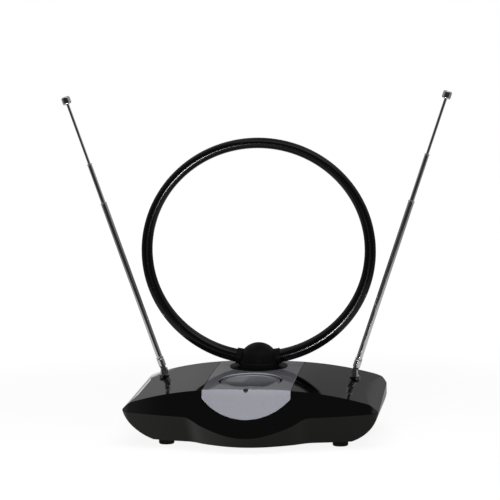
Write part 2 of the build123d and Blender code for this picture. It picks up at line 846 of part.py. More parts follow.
# Rods: bushing, swivel, pin, knuckle and three telescopic sections a side
for side_name, side in sides.items():
    middle_out = middle_out_left if side < 0 else middle_out_right
    lean = radians(rod_lean_left if side < 0 else rod_lean_right)
    pivot = Vector(side * rod_pivot_x, loop_y, pivot_height)
    run = Vector(side * sin(lean), 0, cos(lean))
    pivot_view = Plane(origin=pivot, x_dir=(1, 0, 0), z_dir=(0, -1, 0))
    rod_view = Plane(origin=pivot, x_dir=(cos(lean), 0, -side * sin(lean)), z_dir=(0, -1, 0))
    rod_axis = Axis(pivot, run)

    with BuildPart() as rod_bushing:
        with BuildSketch(Plane.XY.offset(bush_top)):
            with Locations((side * rod_pivot_x, loop_y)):
                Circle(bush_flange_radius)
        extrude(amount=-rod_boss_drop)
        add(upper_form(-bush_bed), mode=Mode.SUBTRACT)
        with BuildSketch(Plane.XY.offset(rod_boss_bottom)):
            with Locations((side * rod_pivot_x, loop_y)):
                Circle(bush_radius)
        extrude(amount=rod_boss_drop + bush_flange_rise / 2)
        with BuildSketch(Plane.XY.offset(rod_boss_bottom - wall)):
            with Locations((side * rod_pivot_x, loop_y)):
                Circle(swivel_radius + swivel_clearance)
        extrude(amount=3 * rod_boss_drop, mode=Mode.SUBTRACT)
    pieces[f"rod_bushing_{side_name}"] = rod_bushing

    with BuildPart() as rod_swivel:
        with BuildSketch(Plane.XY.offset(swivel_bottom)):
            with Locations((side * rod_pivot_x, loop_y)):
                Circle(swivel_foot_radius)
        extrude(amount=pivot_height + ear_radius - swivel_bottom)
        drop = pivot_height - swivel_bottom
        with BuildSketch(pivot_view):
            Circle(ear_radius)
            with Locations((0, -drop / 2)):
                Rectangle(2 * ear_radius, drop)
            with Locations((0, swivel_foot_height / 2 - drop)):
                Rectangle(2 * swivel_foot_radius, swivel_foot_height)
        extrude(amount=fork_width / 2, both=True, mode=Mode.INTERSECT)
        with BuildSketch(pivot_view):
            with Locations((0, swivel_foot_height - drop / 2)):
                Rectangle(4 * ear_radius, drop)
            with Locations((0, ear_radius)):
                Rectangle(4 * ear_radius, 2 * ear_radius)
        extrude(amount=fork_slot / 2, both=True, mode=Mode.SUBTRACT)
        with BuildSketch(pivot_view):
            Circle(pin_radius + pin_fit)
        extrude(amount=fork_width, both=True, mode=Mode.SUBTRACT)
        with BuildSketch(Plane.XY.offset(swivel_bottom)):
            with Locations((side * rod_pivot_x, loop_y)):
                Circle(swivel_radius)
        extrude(amount=nut_top - nut_thickness - swivel_tail - swivel_bottom)
    pieces[f"rod_swivel_{side_name}"] = rod_swivel

    with BuildPart() as swivel_nut:
        with BuildSketch(Plane.XY.offset(nut_top)):
            with Locations((side * rod_pivot_x, loop_y)):
                RegularPolygon(nut_across / 2, 6, major_radius=False)
                Circle(swivel_radius + nut_fit, mode=Mode.SUBTRACT)
        extrude(amount=-nut_thickness)
    pieces[f"swivel_nut_{side_name}"] = swivel_nut

    with BuildPart() as pivot_pin:
        with BuildSketch(pivot_view):
            Circle(pin_radius)
        extrude(amount=fork_width / 2, both=True)
        with BuildSketch(pivot_view.offset(fork_width / 2)):
            Circle(pin_head_radius)
        extrude(amount=pin_head_height)
        with BuildSketch(pivot_view.offset(-fork_width / 2)):
            Circle(pin_head_radius)
        extrude(amount=-pin_head_height)
    pieces[f"pivot_pin_{side_name}"] = pivot_pin

    with BuildPart() as rod_knuckle:
        with BuildSketch(rod_view):
            Circle(tongue_radius)
            with Locations((0, (ferrule_start + ferrule_edge) / 2)):
                Rectangle(2 * tongue_radius, ferrule_start + ferrule_edge)
            Circle(pin_radius + pin_clearance, mode=Mode.SUBTRACT)
        extrude(amount=fork_slot / 2 - fork_gap, both=True)
        with BuildSketch(rod_view):
            with BuildLine():
                Polyline(
                    (0, ferrule_start),
                    (ferrule_radius - ferrule_edge, ferrule_start),
                    (ferrule_radius, ferrule_start + ferrule_edge),
                    (ferrule_radius, ferrule_end - 2 * ferrule_groove_width),
                    (ferrule_radius - ferrule_groove_depth, ferrule_end - 1.5 * ferrule_groove_width),
                    (ferrule_radius, ferrule_end - ferrule_groove_width),
                    (ferrule_radius, ferrule_end - ferrule_edge),
                    (ferrule_radius - ferrule_edge, ferrule_end),
                    (outer_radius + socket_fit, ferrule_end),
                    (outer_radius + socket_fit, ferrule_end - socket_depth),
                    (0, ferrule_end - socket_depth),
                    (0, ferrule_start),
                )
            make_face()
        revolve(axis=rod_axis)
    pieces[f"rod_knuckle_{side_name}"] = rod_knuckle

    with BuildPart() as outer_tube:
        with BuildSketch(rod_view):
            with BuildLine():
                Polyline(
                    (outer_bore, ferrule_end - socket_depth),
                    (outer_radius, ferrule_end - socket_depth),
                    (outer_radius, outer_top - rim_length),
                    (outer_radius + rim_rise, outer_top - rim_length + rim_rise),
                    (outer_radius + rim_rise, outer_top - rim_rise),
                    (outer_radius, outer_top),
                    (middle_radius + slide_clearance, outer_top),
                    (middle_radius + slide_clearance, outer_top - neck_length),
                    (outer_bore, outer_top - neck_length),
                    (outer_bore, ferrule_end - socket_depth),
                )
            make_face()
        revolve(axis=rod_axis)
    pieces[f"outer_tube_{side_name}"] = outer_tube

    middle_top = outer_top + middle_out
    middle_bottom = middle_top - middle_length
    with BuildPart() as middle_tube:
        with BuildSketch(rod_view):
            with BuildLine():
                Polyline(
                    (middle_bore, middle_bottom),
                    (outer_bore - slide_clearance, middle_bottom),
                    (outer_bore - slide_clearance, middle_bottom + stop_length),
                    (middle_radius, middle_bottom + stop_length),
                    (middle_radius, middle_top - rim_length),
                    (middle_radius + rim_rise, middle_top - rim_length + rim_rise),
                    (middle_radius + rim_rise, middle_top - rim_rise),
                    (middle_radius, middle_top),
                    (inner_radius + slide_clearance, middle_top),
                    (inner_radius + slide_clearance, middle_top - neck_length),
                    (middle_bore, middle_top - neck_length),
                    (middle_bore, middle_bottom),
                )
            make_face()
        revolve(axis=rod_axis)
    pieces[f"middle_tube_{side_name}"] = middle_tube

    cap_start = outer_top + cap_reach
    inner_top = cap_start + cap_depth
    inner_bottom = inner_top - inner_length
    with BuildPart() as inner_rod:
        with BuildSketch(rod_view):
            with BuildLine():
                Polyline(
                    (0, inner_bottom),
                    (middle_bore - slide_clearance, inner_bottom),
                    (middle_bore - slide_clearance, inner_bottom + stop_length),
                    (inner_radius, inner_bottom + stop_length),
                    (inner_radius, inner_top),
                    (0, inner_top),
                    (0, inner_bottom),
                )
            make_face()
        revolve(axis=rod_axis)
    pieces[f"inner_rod_{side_name}"] = inner_rod

    cap_end = cap_start + cap_length
    with BuildPart() as tip_cap:
        with BuildSketch(rod_view):
            with BuildLine():
                Polyline(
                    (0, cap_end),
                    (0, inner_top),
                    (inner_radius + cap_fit, inner_top),
                    (inner_radius + cap_fit, cap_start),
                    (cap_radius - cap_round, cap_start),
                )
                RadiusArc((cap_radius - cap_round, cap_start), (cap_radius, cap_start + cap_round), -cap_round)
                Line((cap_radius, cap_start + cap_round), (cap_radius, cap_end - cap_round))
                RadiusArc((cap_radius, cap_end - cap_round), (cap_radius - cap_round, cap_end), -cap_round)
                Line((cap_radius - cap_round, cap_end), (0, cap_end))
            make_face()
        revolve(axis=rod_axis)
    pieces[f"tip_cap_{side_name}"] = tip_cap

# Aerial socket in the back, with its insulator
socket_face = Plane(origin=(0, back_y + socket_pad_rise, socket_height), x_dir=(1, 0, 0), z_dir=(0, 1, 0))
barrel_end = socket_nut_thickness + barrel_length
with BuildPart() as coax_socket:
    with BuildSketch(socket_face):
        RegularPolygon(socket_nut_across / 2, 6, major_radius=False)
    extrude(amount=socket_nut_thickness)
    with BuildSketch(socket_face):
        Circle(barrel_radius)
    extrude(amount=barrel_end)
    with BuildSketch(socket_face):
        Circle(socket_shank_radius)
    extrude(amount=-2 * socket_pad_rise - wall - socket_tail)
    with BuildSketch(socket_face.offset(barrel_end)):
        Circle(barrel_bore)
    extrude(amount=-barrel_bore_depth, mode=Mode.SUBTRACT)
pieces["coax_socket"] = coax_socket

with BuildPart() as socket_insulator:
    with BuildSketch(socket_face.offset(barrel_end - barrel_bore_depth)):
        Circle(barrel_bore - insert_fit)
        Circle(insert_hole_radius, mode=Mode.SUBTRACT)
    extrude(amount=insert_length)
pieces["socket_insulator"] = socket_insulator

os.makedirs("parts", exist_ok=True)
for name, piece in pieces.items():
    piece.part.label = name
    export_step(piece.part, f"parts/{name}.step")
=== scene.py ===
"""Looks of a tabletop indoor antenna: its finishes, small fittings, studio and camera."""

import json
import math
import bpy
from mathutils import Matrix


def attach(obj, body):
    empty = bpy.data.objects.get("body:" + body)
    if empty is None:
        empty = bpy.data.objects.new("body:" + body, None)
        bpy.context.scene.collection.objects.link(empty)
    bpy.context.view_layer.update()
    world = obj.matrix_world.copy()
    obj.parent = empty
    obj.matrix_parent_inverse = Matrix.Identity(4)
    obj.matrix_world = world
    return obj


bl_info = {
    "name": "Indoor antenna",
    "version": (1, 0, 0),
    "blender": (4, 5, 0),
    "location": "View3D > Sidebar > Antenna",
    "description": "Finishes, small fittings and studio for a tabletop indoor antenna",
    "category": "Object",
}

import bmesh
import bpy
from bpy.props import FloatProperty, FloatVectorProperty, IntProperty, PointerProperty
from mathutils import Matrix, Quaternion, Vector

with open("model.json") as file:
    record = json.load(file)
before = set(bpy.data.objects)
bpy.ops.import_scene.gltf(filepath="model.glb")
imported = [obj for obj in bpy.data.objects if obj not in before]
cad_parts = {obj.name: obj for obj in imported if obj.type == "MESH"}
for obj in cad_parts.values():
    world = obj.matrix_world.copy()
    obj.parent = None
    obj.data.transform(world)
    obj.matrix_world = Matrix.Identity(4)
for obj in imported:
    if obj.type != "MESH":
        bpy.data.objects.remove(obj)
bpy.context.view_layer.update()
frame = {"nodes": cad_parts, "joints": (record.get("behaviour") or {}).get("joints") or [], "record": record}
nodes = frame["nodes"]
joints = {joint["name"]: joint for joint in frame["joints"]}
mounts = {mount["name"]: mount for mount in frame["record"]["mounts"]}
SIDES = ("left", "right")
WHITE = (1.0, 1.0, 1.0)

# Camera: width of its sensor in millimetres, and the nearest and furthest that it sees
SENSOR_WIDTH = 36.0
CLIP_RANGE = (0.01, 50.0)

# Lamps: where each one stands, the point that it faces, and its width and height
FRONT_LAMP = {"place": (0.12, -2.2, 0.1), "aim": (0.0, 0.0, 0.1), "size": (1.2, 0.3)}
SOFTBOX = {"place": (0.25, -0.82, 1.4), "aim": (0.0, 0.0, 0.05), "size": (1.4, 0.8)}
STRIP = {"place": (0.08, -1.12, -0.18), "aim": (0.0, 0.0, 0.12), "size": (0.18, 0.08)}

# Floor: tone of its grain, and the distance from the antenna over which it turns to full white
FLOOR_GRAIN = 0.985
FLOOR_WHITENS = (0.3, 1.1)

# Mirrored floor: its light near the antenna, and where it gains light behind and loses it at the sides
MIRROR_NEAR = 0.55
MIRROR_BEHIND = (0.6, 1.8)
MIRROR_BESIDE = (0.25, 0.6)
MIRROR_SIDE_LOSS = 0.7

# Mirrored walls, by direction: where they dim in the middle, brighten to the right and end in front
WALL_MIDDLE = (-0.25, 0.0)
WALL_MIDDLE_LOSS = 0.58
WALL_RIGHT = (0.05, 0.35)
WALL_RIGHT_GAIN = 0.7
WALL_FRONT = (-0.72, -0.15)

# Mirrored walls: their light at the level of the horizon, and what it gains straight up
WALL_FOOT = 0.6
WALL_RISE = 2.8

# Mirrored backdrop, by direction: its soft sides and its soft upper edge
BACKDROP_SIDES = (0.86, 0.97)
BACKDROP_TOP = (0.035, 0.07)

# Pairs of colours that a finish runs between
LENS_SMOKE = ((0.0015, 0.0015, 0.002), (0.005, 0.003, 0.003))
BOARD_GREEN = ((0.02, 0.11, 0.04), (0.03, 0.16, 0.06))
PLAIN_CREAM = ((0.5, 0.49, 0.45), (0.6, 0.59, 0.55))
SCREW_GREY = ((0.3, 0.3, 0.31), (0.5, 0.5, 0.5))

# What a speck of dust adds to black
DUST_LIFT = 0.003

# Meshes: points closer than this are one, and edges sharper than this stay sharp
MERGE_DISTANCE = 1e-7
SHARP_ANGLE = math.radians(35)

# Thread: how far its root lies in the barrel, and the steps in one turn
THREAD_BITE = 0.0001
THREAD_STEPS = 28

# Shares of the thread's pitch: where a tooth's flat top starts and ends, and where the tooth ends
TOOTH_TOP = (0.4, 0.55)
TOOTH_END = 0.95

# Screw head: cells along each side of the grid that its top is made from
SCREW_CELLS = 10

# Shares of a screw head's radius: its flat top and the reach of its cross
SCREW_FLAT = 0.72
SCREW_REACH = 0.6

# Shares of a screw head's height: the depth of its cross and the fall of its sloped edge
SCREW_SUNK = 0.6
SCREW_FALL = 0.45


# Shader maths

class Signal:
    """A node's output, with Python's operators for Math nodes where it is a number."""

    def __init__(self, finish, socket):
        self.finish = finish
        self.socket = socket

    def math(self, operation, *terms):
        return self.finish.add("ShaderNodeMath", {"operation": operation}, dict(enumerate(terms)))

    def __add__(self, other):
        return self.math("ADD", self, other)

    __radd__ = __add__

    def __sub__(self, other):
        return self.math("SUBTRACT", self, other)

    def __rsub__(self, other):
        return self.math("SUBTRACT", other, self)

    def __mul__(self, other):
        return self.math("MULTIPLY", self, other)

    __rmul__ = __mul__

    def larger(self, other):
        """The larger of two numbers."""
        return self.math("MAXIMUM", self, other)

    def size(self):
        """The number without its sign."""
        return self.math("ABSOLUTE", self)

    def between(self, low, high):
        """0 below low, 1 above high, smooth between them."""
        return self.finish.add(
            "ShaderNodeMapRange",
            {"interpolation_type": "SMOOTHSTEP"},
            {"Value": self, "From Min": low, "From Max": high},
        )


class Finish:
    """The node tree of a material or of the world."""

    def __init__(self, tree):
        self.tree = tree

    def add(self, kind, settings=None, sockets=None, output=0):
        """Adds one node, its settings first and then the values or links of its sockets."""
        node = self.tree.nodes.new(kind)
        for name, value in (settings or {}).items():
            setattr(node, name, value)
        for name, value in (sockets or {}).items():
            self.feed(node.inputs[name], value)
        return Signal(self, node.outputs[output])

    def feed(self, socket, value):
        """Links a signal to a socket, or sets the socket's value."""
        if isinstance(value, Signal):
            self.tree.links.new(value.socket, socket)
        else:
            socket.default_value = value

    def place(self):
        """Object coordinates."""
        return self.add("ShaderNodeTexCoord", output="Object")

    def part(self, vector, axis):
        """One coordinate of a vector."""
        return self.add("ShaderNodeSeparateXYZ", sockets={"Vector": vector}, output=axis)

    def stretched(self, scale, turn):
        """Object coordinates, turned and scaled for a pattern that runs one way."""
        return self.add(
            "ShaderNodeMapping", sockets={"Vector": self.place(), "Rotation": turn, "Scale": scale}
        )

    def noise(self, scale, detail=2.0, roughness=0.5, at=None):
        """A cloudy pattern on Object coordinates, or on the ones given."""
        return self.add(
            "ShaderNodeTexNoise",
            sockets={
                "Vector": at or self.place(),
                "Scale": scale,
                "Detail": detail,
                "Roughness": roughness,
            },
        )

    def tint(self, factor, low, high):
        """A colour between two colours."""
        return self.add(
            "ShaderNodeMix",
            {"data_type": "RGBA"},
            {0: factor, 6: (*low, 1.0), 7: (*high, 1.0)},
            output=2,
        )

    def ray(self, kind):
        """1 for one kind of ray."""
        return self.add("ShaderNodeLightPath", output=f"Is {kind} Ray")

    def seen(self):
        """1 for rays that see the surroundings, straight or mirrored, and 0 for diffuse light."""
        return self.ray("Glossy").larger(self.ray("Transmission")).larger(self.ray("Camera"))

    def relief(self, height, depth, strength):
        """Fine bumps from a pattern."""
        return self.add(
            "ShaderNodeBump", sockets={"Height": height, "Distance": depth, "Strength": strength}
        )


def new_material(name, **sockets):
    """A material on the Principled shader, with the constants set on its own sockets."""
    material = bpy.data.materials.new(name)
    material.use_nodes = True
    finish = Finish(material.node_tree)
    shader = material.node_tree.nodes["Principled BSDF"]
    for socket, value in sockets.items():
        shader.inputs[socket.replace("_", " ").title().replace("Ior", "IOR")].default_value = value
    return material, finish, shader


def vary(shader, finish, **links):
    """Links what changes over a surface to the shader's sockets."""
    for socket, signal in links.items():
        finish.feed(shader.inputs[socket.replace("_", " ").title()], signal)


def toned(colour, factor):
    """A darker or lighter tone of a colour."""
    return tuple(c * factor for c in colour)


def dress(names, material):
    """Puts one material on CAD nodes, over the slots that they came with."""
    for name in names:
        for slot in nodes[name].material_slots:
            slot.link = "OBJECT"
            slot.material = material


# Shapes

def new_piece(name, bm, material, body):
    """Turns a bmesh into a piece that rides on a body."""
    bmesh.ops.remove_doubles(bm, verts=bm.verts, dist=MERGE_DISTANCE)
    bmesh.ops.recalc_face_normals(bm, faces=bm.faces)
    mesh = bpy.data.meshes.new(name)
    bm.to_mesh(mesh)
    bm.free()
    for face in mesh.polygons:
        face.use_smooth = True
    mesh.set_sharp_from_angle(angle=SHARP_ANGLE)
    piece = bpy.data.objects.new(name, mesh)
    bpy.context.scene.collection.objects.link(piece)
    mesh.materials.append(material)
    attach(piece, body)


def new_verts(result):
    """The vertices that an extrusion made."""
    return [item for item in result["geom"] if isinstance(item, bmesh.types.BMVert)]


def rim_of(bm):
    """The open edges of a shape."""
    return [edge for edge in bm.edges if edge.is_boundary]


def aimed(axis, place):
    """Takes a shape made along Z to a direction and a place."""
    return Matrix.Translation(place) @ Vector(axis).to_track_quat("Z", "Y").to_matrix().to_4x4()


# What a user would change

class AntennaCamera(bpy.types.PropertyGroup):
    place: FloatVectorProperty(
        name="Place",
        description="Where the camera stands",
        default=(0.20586, -1.62611, 0.26365),
        subtype="TRANSLATION",
    )
    aim: FloatVectorProperty(
        name="Aim",
        description="Point that the camera looks at",
        default=(-0.00674, 0.02213, 0.162),
        subtype="TRANSLATION",
    )
    roll: FloatProperty(
        name="Roll",
        description="Turn about the line of sight",
        default=math.radians(-0.5),
        subtype="ANGLE",
        unit="ROTATION",
    )
    lens: FloatProperty(name="Lens", description="Focal length", default=138.96, unit="CAMERA")


class AntennaStudio(bpy.types.PropertyGroup):
    floor_size: FloatProperty(
        name="Floor size", description="Side of the floor", default=9.0, unit="LENGTH"
    )
    floor_front: FloatProperty(
        name="Floor front", description="Floor in front of the antenna", default=0.33, unit="LENGTH"
    )
    floor_colour: FloatVectorProperty(
        name="Floor colour",
        description="Colour of the pale floor",
        default=(0.75, 0.75, 0.75),
        size=3,
        subtype="COLOR",
    )
    floor_white: FloatVectorProperty(
        name="Floor white",
        description="White of the floor near the antenna, as it is seen",
        default=(0.87, 0.87, 0.87),
        size=3,
        subtype="COLOR",
    )
    front_power: FloatProperty(
        name="Front power", description="Power of the lamp by the camera", default=45.0, unit="POWER"
    )
    top_power: FloatProperty(
        name="Softbox power", description="Power of the softbox above", default=3.5, unit="POWER"
    )
    strip_power: FloatProperty(
        name="Strip power",
        description="Power of the strip below the table's edge",
        default=7.5,
        unit="POWER",
    )
    ambient: FloatProperty(
        name="Ambient", description="Even light from all round", default=0.035, min=0.0, subtype="FACTOR"
    )
    wall: FloatProperty(
        name="Wall",
        description="Grey of the walls beside and above the backdrop",
        default=0.19,
        min=0.0,
        subtype="FACTOR",
    )
    room: FloatProperty(
        name="Room", description="Grey of the dark room in front", default=0.03, min=0.0, subtype="FACTOR"
    )


class AntennaFinishes(bpy.types.PropertyGroup):
    black: FloatVectorProperty(
        name="Black",
        description="Gloss black of the case and the loop",
        default=(0.0016, 0.0016, 0.0018),
        size=3,
        subtype="COLOR",
    )
    lower_black: FloatVectorProperty(
        name="Lower black",
        description="Black of the bottom cover",
        default=(0.0036, 0.0035, 0.0025),
        size=3,
        subtype="COLOR",
    )
    silver: FloatVectorProperty(
        name="Silver",
        description="Silver lacquer of the panel and the dial",
        default=(0.33, 0.332, 0.374),
        size=3,
        subtype="COLOR",
    )
    chrome: FloatVectorProperty(
        name="Chrome",
        description="Plating of the rods",
        default=(0.72, 0.72, 0.74),
        size=3,
        subtype="COLOR",
    )
    nickel: FloatVectorProperty(
        name="Nickel",
        description="Plating of the aerial socket",
        default=(0.66, 0.63, 0.57),
        size=3,
        subtype="COLOR",
    )
    rubber: FloatVectorProperty(
        name="Rubber",
        description="Rubber of the feet",
        default=(0.005, 0.005, 0.0045),
        size=3,
        subtype="COLOR",
    )


class AntennaFittings(bpy.types.PropertyGroup):
    screw_radius: FloatProperty(
        name="Screw head", description="Radius of a case screw's head", default=0.0027, unit="LENGTH"
    )
    screw_height: FloatProperty(
        name="Screw height", description="Height of a case screw's head", default=0.0018, unit="LENGTH"
    )
    screw_x: FloatProperty(
        name="Screw reach", description="Case screws from the middle", default=0.058, unit="LENGTH"
    )
    screw_front: FloatProperty(
        name="Front screws", description="Place of the front screws", default=-0.021, unit="LENGTH"
    )
    screw_back: FloatProperty(
        name="Back screws", description="Place of the back screws", default=0.049, unit="LENGTH"
    )
    screw_seat: FloatProperty(
        name="Screw seat", description="Height of the seat of a screw's head", default=0.012, unit="LENGTH"
    )
    thread_pitch: FloatProperty(
        name="Thread pitch",
        description="Rise of the socket's thread in a turn",
        default=0.0008,
        unit="LENGTH",
    )
    thread_depth: FloatProperty(
        name="Thread depth", description="Height of the socket's thread", default=0.00024, unit="LENGTH"
    )
    thread_turns: IntProperty(
        name="Thread turns", description="Turns of the socket's thread", default=9, min=1
    )


# Operators

class AntennaOperator:
    """What the operators share."""

    bl_options = {"REGISTER", "UNDO"}


class ANTENNA_OT_stage(AntennaOperator, bpy.types.Operator):
    """Make the floor, the surroundings, the lamps and the camera"""

    bl_idname = "antenna.stage"
    bl_label = "Stage"

    def execute(self, context):
        scene = context.scene
        studio = scene.antenna_studio
        scene.view_settings.view_transform = "Standard"
        self.floor(studio)
        self.surroundings(scene, studio)
        front = self.lamp("front", studio.front_power, **FRONT_LAMP)
        front.visible_glossy = False
        self.lamp("softbox", studio.top_power, **SOFTBOX)
        self.lamp("strip", studio.strip_power, **STRIP)
        self.camera(scene)
        return {"FINISHED"}

    def floor(self, studio):
        """A pale floor that ends in front of the antenna, so that the strip shines past it."""
        bm = bmesh.new()
        bmesh.ops.create_grid(bm, x_segments=1, y_segments=1, size=studio.floor_size / 2)
        middle = studio.floor_size / 2 - studio.floor_front
        bmesh.ops.translate(bm, verts=bm.verts, vec=(0, middle, 0))
        mesh = bpy.data.meshes.new("floor")
        bm.to_mesh(mesh)
        bm.free()
        floor = bpy.data.objects.new("floor", mesh)
        bpy.context.scene.collection.objects.link(floor)
        material, finish, shader = new_material("pale_floor", roughness=0.6, specular_ior_level=0.0)
        grain = finish.noise(scale=60.0, detail=3.0)
        colour = tuple(studio.floor_colour)
        vary(shader, finish, base_color=finish.tint(grain, toned(colour, FLOOR_GRAIN), colour))
        place = finish.place()
        away = finish.add("ShaderNodeVectorMath", {"operation": "LENGTH"}, {0: place}, output="Value")
        white = finish.tint(away.between(*FLOOR_WHITENS), tuple(studio.floor_white), WHITE)
        behind = finish.part(place, "Y").between(*MIRROR_BEHIND).larger(MIRROR_NEAR)
        beside = finish.part(place, "X").size().between(*MIRROR_BESIDE)
        mirrored = behind * (1.0 - MIRROR_SIDE_LOSS * beside)
        strength = finish.ray("Camera").larger(mirrored * finish.seen())
        glow = finish.add("ShaderNodeEmission", sockets={"Color": white, "Strength": strength})
        lit = Signal(finish, shader.outputs[0])
        both = finish.add("ShaderNodeAddShader", sockets={0: lit, 1: glow})
        finish.feed(material.node_tree.nodes["Material Output"].inputs["Surface"], both)
        mesh.materials.append(material)

    def surroundings(self, scene, studio):
        """White for the camera; a backdrop, grey walls and a dark room in reflections."""
        world = bpy.data.worlds.new("studio")
        scene.world = world
        world.use_nodes = True
        finish = Finish(world.node_tree)
        way = finish.add("ShaderNodeTexCoord", output="Generated")
        across = finish.part(way, "X")
        depth = finish.part(way, "Y")
        rise = finish.part(way, "Z")
        middle = across.between(*WALL_MIDDLE)
        right = across.between(*WALL_RIGHT)
        sideways = 1.0 - WALL_MIDDLE_LOSS * middle + WALL_RIGHT_GAIN * right
        upwards = WALL_FOOT + WALL_RISE * rise.larger(0.0)
        wall = studio.wall * sideways * upwards * depth.between(*WALL_FRONT)
        backdrop = depth.between(*BACKDROP_SIDES) * (1.0 - rise.between(*BACKDROP_TOP))
        backdrop = backdrop.larger(finish.ray("Camera"))
        picture = backdrop + (1.0 - backdrop) * (wall + studio.room)
        seen = finish.seen()
        strength = seen * picture + (1.0 - seen) * studio.ambient
        background = world.node_tree.nodes["Background"]
        background.inputs["Color"].default_value = (*WHITE, 1.0)
        finish.feed(background.inputs["Strength"], strength)

    def lamp(self, name, power, place, aim, size):
        """A rectangular lamp that faces a point and is hidden from the camera."""
        light = bpy.data.lights.new(name, "AREA")
        light.shape = "RECTANGLE"
        light.size, light.size_y = size
        light.energy = power
        lamp = bpy.data.objects.new(name, light)
        bpy.context.scene.collection.objects.link(lamp)
        lamp.location = place
        lamp.rotation_mode = "QUATERNION"
        lamp.rotation_quaternion = (Vector(aim) - Vector(place)).to_track_quat("-Z", "Y")
        lamp.visible_camera = False
        return lamp

    def camera(self, scene):
        """A camera that faces its aim, with a small roll."""
        view = scene.antenna_camera
        data = bpy.data.cameras.new("camera")
        data.sensor_width = SENSOR_WIDTH
        data.lens = view.lens
        data.clip_start, data.clip_end = CLIP_RANGE
        camera = bpy.data.objects.new("camera", data)
        scene.collection.objects.link(camera)
        camera.location = view.place
        camera.rotation_mode = "QUATERNION"
        look = (Vector(view.aim) - Vector(view.place)).to_track_quat("-Z", "Y")
        camera.rotation_quaternion = look @ Quaternion((0.0, 0.0, 1.0), view.roll)
        scene.camera = camera


class ANTENNA_OT_black_case(AntennaOperator, bpy.types.Operator):
    """Black plastic of the covers, the bushes, the turret and the loop"""

    bl_idname = "antenna.black_case"
    bl_label = "Black case and loop"

    def execute(self, context):
        black = tuple(context.scene.antenna_finishes.black)
        lower_black = tuple(context.scene.antenna_finishes.lower_black)
        gloss = self.plastic("gloss_black", black, polish=0.05, shine=1.0)
        hull = self.plastic("lower_black", lower_black, polish=0.22, shine=0.06)
        loop = self.plastic("loop_black", black, polish=0.17, shine=0.25)
        satin = self.plastic("satin_black", toned(black, 2.0), polish=0.4, shine=0.06)
        dress(["top_cover", "rod_bushing_left", "rod_bushing_right"], gloss)
        dress(["bottom_cover"], hull)
        dress(["loop_ring"], loop)
        dress(["turret_seat", "loop_turret", "loop_collar_left", "loop_collar_right"], satin)
        return {"FINISHED"}

    def plastic(self, name, black, polish, shine):
        """Moulded black with faint dust; polish is its roughness, shine its specular level."""
        material, finish, shader = new_material(name, specular_ior_level=shine)
        cloud = finish.noise(scale=14.0, detail=4.0, roughness=0.6).between(0.45, 0.75)
        dust = finish.noise(scale=1500.0).between(0.72, 0.85)
        dusty_black = tuple(DUST_LIFT + c for c in black)
        ripple = finish.noise(scale=260.0, detail=1.0)
        vary(
            shader,
            finish,
            base_color=finish.tint(dust, black, dusty_black),
            roughness=polish + 0.03 * cloud + 0.03 * dust,
            normal=finish.relief(ripple, depth=0.000004, strength=0.1),
        )
        return material


class ANTENNA_OT_silver_panel(AntennaOperator, bpy.types.Operator):
    """Silver lacquer of the trim panel and the gain dial"""

    bl_idname = "antenna.silver_panel"
    bl_label = "Silver panel and dial"

    def execute(self, context):
        silver = tuple(context.scene.antenna_finishes.silver)
        material, finish, shader = new_material(
            "silver_lacquer", metallic=0.1, specular_ior_level=0.2, coat_weight=1.0, coat_roughness=0.04
        )
        flake = finish.noise(scale=2600.0, detail=2.0, roughness=0.7)
        cloud = finish.noise(scale=40.0, detail=3.0)
        vary(
            shader,
            finish,
            base_color=finish.tint(flake.between(0.3, 0.7), toned(silver, 0.84), toned(silver, 1.14)),
            roughness=0.4 + 0.06 * cloud + 0.06 * flake,
            normal=finish.relief(flake, depth=0.00002, strength=0.15),
        )
        dress(["trim_panel", "gain_dial"], material)
        return {"FINISHED"}


class ANTENNA_OT_lamp_lens(AntennaOperator, bpy.types.Operator):
    """Dark lens of the indicator lamp"""

    bl_idname = "antenna.lamp_lens"
    bl_label = "Lamp lens"

    def execute(self, context):
        material, finish, shader = new_material("smoked_lens", coat_weight=1.0, coat_roughness=0.02)
        smoke = finish.noise(scale=900.0)
        vary(
            shader,
            finish,
            base_color=finish.tint(smoke, *LENS_SMOKE),
            roughness=0.06 + 0.05 * smoke,
        )
        dress(["indicator_lamp"], material)
        return {"FINISHED"}


class ANTENNA_OT_chrome_rods(AntennaOperator, bpy.types.Operator):
    """Chrome of the telescopic rods, their knuckles and caps"""

    bl_idname = "antenna.chrome_rods"
    bl_label = "Chrome rods"

    def execute(self, context):
        chrome = tuple(context.scene.antenna_finishes.chrome)
        fork = ["rod_swivel", "swivel_nut", "pivot_pin", "rod_knuckle"]
        tubes = ["outer_tube", "middle_tube", "inner_rod", "tip_cap"]
        for side in SIDES:
            run = Vector(joints[f"{side}_middle_slide"]["axis"])
            turn = tuple(run.to_track_quat("Z", "Y").inverted().to_euler())
            material, finish, shader = new_material(f"chrome_{side}", metallic=1.0)
            along = finish.stretched(scale=(3000.0, 3000.0, 40.0), turn=turn)
            drawn = finish.noise(scale=1.0, at=along)
            haze = finish.noise(scale=55.0, detail=4.0, roughness=0.6)
            vary(
                shader,
                finish,
                base_color=finish.tint(haze, toned(chrome, 0.9), chrome),
                roughness=0.05 + 0.05 * haze.between(0.4, 0.75) + 0.03 * drawn,
                normal=finish.relief(drawn, depth=0.000004, strength=0.05),
            )
            dress([f"{name}_{side}" for name in fork + tubes], material)
        return {"FINISHED"}


